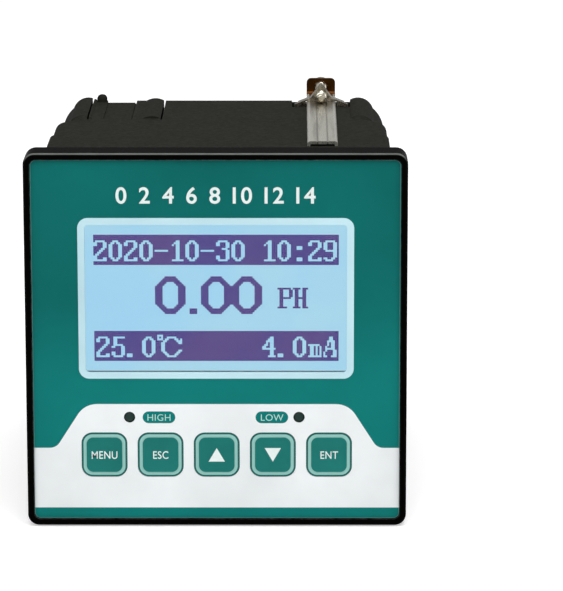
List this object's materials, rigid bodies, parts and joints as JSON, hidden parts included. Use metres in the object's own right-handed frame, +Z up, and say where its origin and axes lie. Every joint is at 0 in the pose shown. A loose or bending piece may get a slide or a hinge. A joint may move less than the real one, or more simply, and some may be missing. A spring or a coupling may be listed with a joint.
{
  "type": "panel-mount redox meter",
  "caption": "Square panel-mount redox and acidity meter with a lit display, sealed keys and indicator lamps; a rear clamp strip holds it in a panel cut-out.",
  "frame": {"origin": "centre of the bezel's back face, the plane that seats on the front of the panel", "axes": "+Y points from the face into the panel, +X to the viewer's right, +Z up"},
  "size_m": [0.1, 0.114, 0.1024],
  "materials": {
    "black_case": "fine spark-eroded texture",
    "black_gloss": "smooth glossy moulding",
    "teal_film": "second-surface printed film, fine satin grain",
    "white_print": "second-surface printed film, fine satin grain",
    "border_print": "pale printed frame",
    "clear_window": "clear hard-coated film",
    "key_film": "embossed satin film",
    "lamp_lens": "dark tinted lens",
    "lcd_glass": "lit liquid crystal display",
    "light_guide": "clear acrylic light guide",
    "tinned_steel": "tinned sheet",
    "circuit_board": "solder-masked laminate",
    "black_parts": "moulded component bodies",
    "switch_stem": "moulded stem",
    "core_steel": "varnished laminations",
    "coil_tape": "wound coil under tape",
    "relay_case": "moulded relay housing",
    "capacitor_sleeve": "shrink sleeve over aluminium cans",
    "fuse_glass": "nickel caps",
    "terminal_green": "moulded terminal housings",
    "screw_steel": "nickel-plated screws",
    "clamp_steel": "bright rolled spring steel"
  },
  "bodies": {
    "meter": {"bezel_screws": "screw_steel", "board_screws": "screw_steel", "capacitors": "capacitor_sleeve", "case": "black_case", "clamp_anchor": "clamp_steel", "display_header": "black_parts", "display_window": "clear_window", "film_white_field": "white_print", "front_bezel": "black_gloss", "front_board": "circuit_board", "front_film": "teal_film", "fuse": "fuse_glass", "input_shield": "tinned_steel", "isolated_supply": "black_parts", "lamp_high": "lamp_lens", "lamp_low": "lamp_lens", "lcd_backlight": "light_guide", "lcd_board": "circuit_board", "lcd_glass": "lcd_glass", "lcd_metal_frame": "tinned_steel", "optocouplers": "black_parts", "power_board": "circuit_board", "power_header": "black_parts", "processor_chip": "black_parts", "rear_cover": "black_case", "relay_high": "relay_case", "relay_low": "relay_case", "signal_board": "circuit_board", "signal_header": "black_parts", "switch_down": "black_parts", "switch_enter": "black_parts", "switch_escape": "black_parts", "switch_menu": "black_parts", "switch_up": "black_parts", "terminal_block_lower": "terminal_green", "terminal_block_upper": "terminal_green", "terminal_screws_lower": "screw_steel", "terminal_screws_upper": "screw_steel", "transformer_coil": "coil_tape", "transformer_core": "core_steel", "window_border": "border_print"},
    "menu_key": {"key_menu": "key_film", "switch_stem_menu": "switch_stem"},
    "escape_key": {"key_escape": "key_film", "switch_stem_escape": "switch_stem"},
    "up_key": {"key_up": "key_film", "switch_stem_up": "switch_stem"},
    "down_key": {"key_down": "key_film", "switch_stem_down": "switch_stem"},
    "enter_key": {"key_enter": "key_film", "switch_stem_enter": "switch_stem"},
    "clamp_slide": {"clamp_strip": "clamp_steel"},
    "clamp_turn": {"clamp_screw": "screw_steel"}
  },
  "joints": [
    {"name": "menu_key_press", "type": "slide", "parent": "meter", "child": "menu_key", "axis": [0, 1, 0], "range_m": [0, 0.0003], "stiffness_N_per_m": 1500},
    {"name": "escape_key_press", "type": "slide", "parent": "meter", "child": "escape_key", "axis": [0, 1, 0], "range_m": [0, 0.0003], "stiffness_N_per_m": 1500},
    {"name": "up_key_press", "type": "slide", "parent": "meter", "child": "up_key", "axis": [0, 1, 0], "range_m": [0, 0.0003], "stiffness_N_per_m": 1500},
    {"name": "down_key_press", "type": "slide", "parent": "meter", "child": "down_key", "axis": [0, 1, 0], "range_m": [0, 0.0003], "stiffness_N_per_m": 1500},
    {"name": "enter_key_press", "type": "slide", "parent": "meter", "child": "enter_key", "axis": [0, 1, 0], "range_m": [0, 0.0003], "stiffness_N_per_m": 1500},
    {"name": "clamp_strip_slide", "type": "slide", "parent": "meter", "child": "clamp_slide", "axis": [0, 1, 0], "range_m": [-0.011, 0.004]},
    {"name": "clamp_screw_turn", "type": "hinge", "parent": "clamp_slide", "child": "clamp_turn", "pos_m": [0.028, 0.103, 0.049], "axis": [0, 1, 0], "range_deg": [-7921, 2881]}
  ],
  "couplings": [
    {"joint": "clamp_screw_turn", "follows": "clamp_strip_slide", "rad_per_m": 12566}
  ]
}
